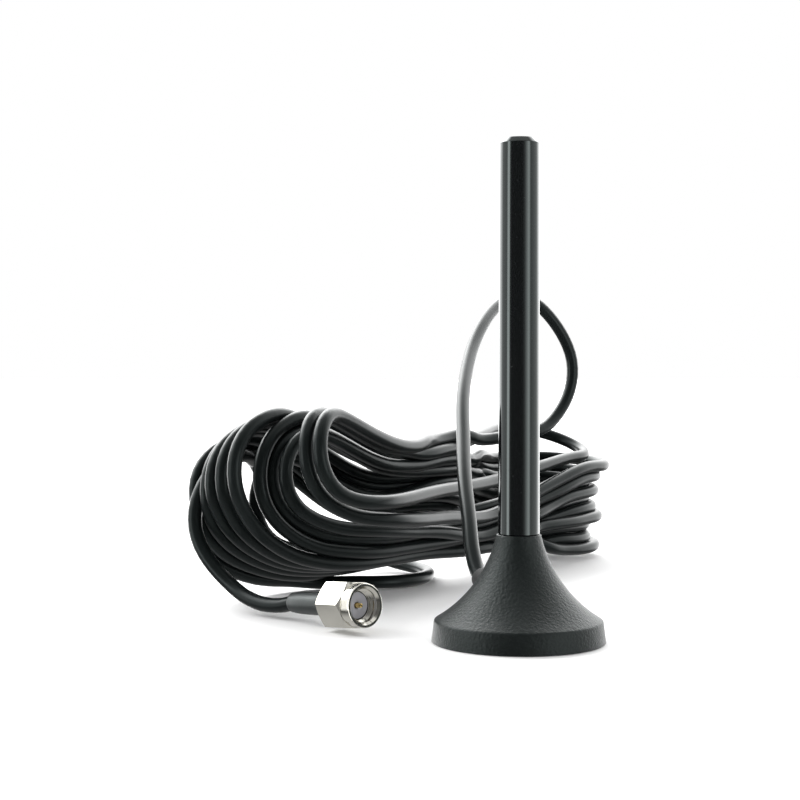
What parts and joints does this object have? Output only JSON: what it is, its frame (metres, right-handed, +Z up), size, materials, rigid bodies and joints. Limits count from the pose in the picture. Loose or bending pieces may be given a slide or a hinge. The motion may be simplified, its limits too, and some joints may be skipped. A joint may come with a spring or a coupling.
{
  "type": "magnet-mount cellular antenna",
  "caption": "Short magnet-mount cellular antenna with a flared base, a round mast, a wound coax lead and a threaded coaxial plug.",
  "frame": {"origin": "centre of the base's underside, on the surface that the base holds to", "axes": "+Z up along the mast, +X to the right and +Y to the back as the plug's mouth faces the front right"},
  "size_m": [0.1051, 0.1543, 0.086],
  "materials": {
    "shell_plastic": "fine textured matte black moulding",
    "mast_plastic": "polished black",
    "pad_rubber": "matte black protective disc",
    "gland_rubber": "satin black",
    "jacket": "satin black flexible PVC",
    "shrink": "satin black shrunk tubing",
    "plated_steel": "zinc plated",
    "magnet": "nickel plated magnet",
    "brass": "plain turned brass",
    "copper": "bare copper wire",
    "nickel": "bright warm nickel plating",
    "gold": "gold plated contact",
    "insulator": "grey-white fluoropolymer",
    "silicone": "black silicone"
  },
  "bodies": {
    "root": {"base_shell": "shell_plastic", "base_pad": "pad_rubber", "pole_cup": "plated_steel", "magnet_disc": "magnet", "ground_plate": "brass", "mast_tube": "mast_plastic", "mast_hub": "brass", "feed_insulator": "insulator", "radiator_rod": "brass", "tip_bead": "brass", "lower_spacer": "insulator", "choke_sleeve": "brass", "sleeve_spacer": "insulator", "upper_spacer": "insulator", "cable_gland": "gland_rubber", "coax_stub": "jacket", "feed_wire": "copper", "cable_clamp": "brass", "cable_lead": "jacket", "cable_hank": "jacket", "cable_tail": "jacket", "heat_shrink": "shrink", "crimp_ferrule": "nickel", "plug_body": "nickel", "plug_insulator": "insulator", "centre_pin": "gold", "plug_coax_core": "insulator", "nut_retaining_ring": "nickel", "nut_gasket": "silicone"},
    "coupling_nut": {"coupling_nut": "nickel"}
  },
  "joints": [
    {"name": "nut_spin", "type": "hinge", "parent": "root", "child": "coupling_nut", "pos_m": [-0.0264, 0.005, 0.00535], "axis": [0.6403, -0.7631, 0.0872], "continuous": true}
  ]
}
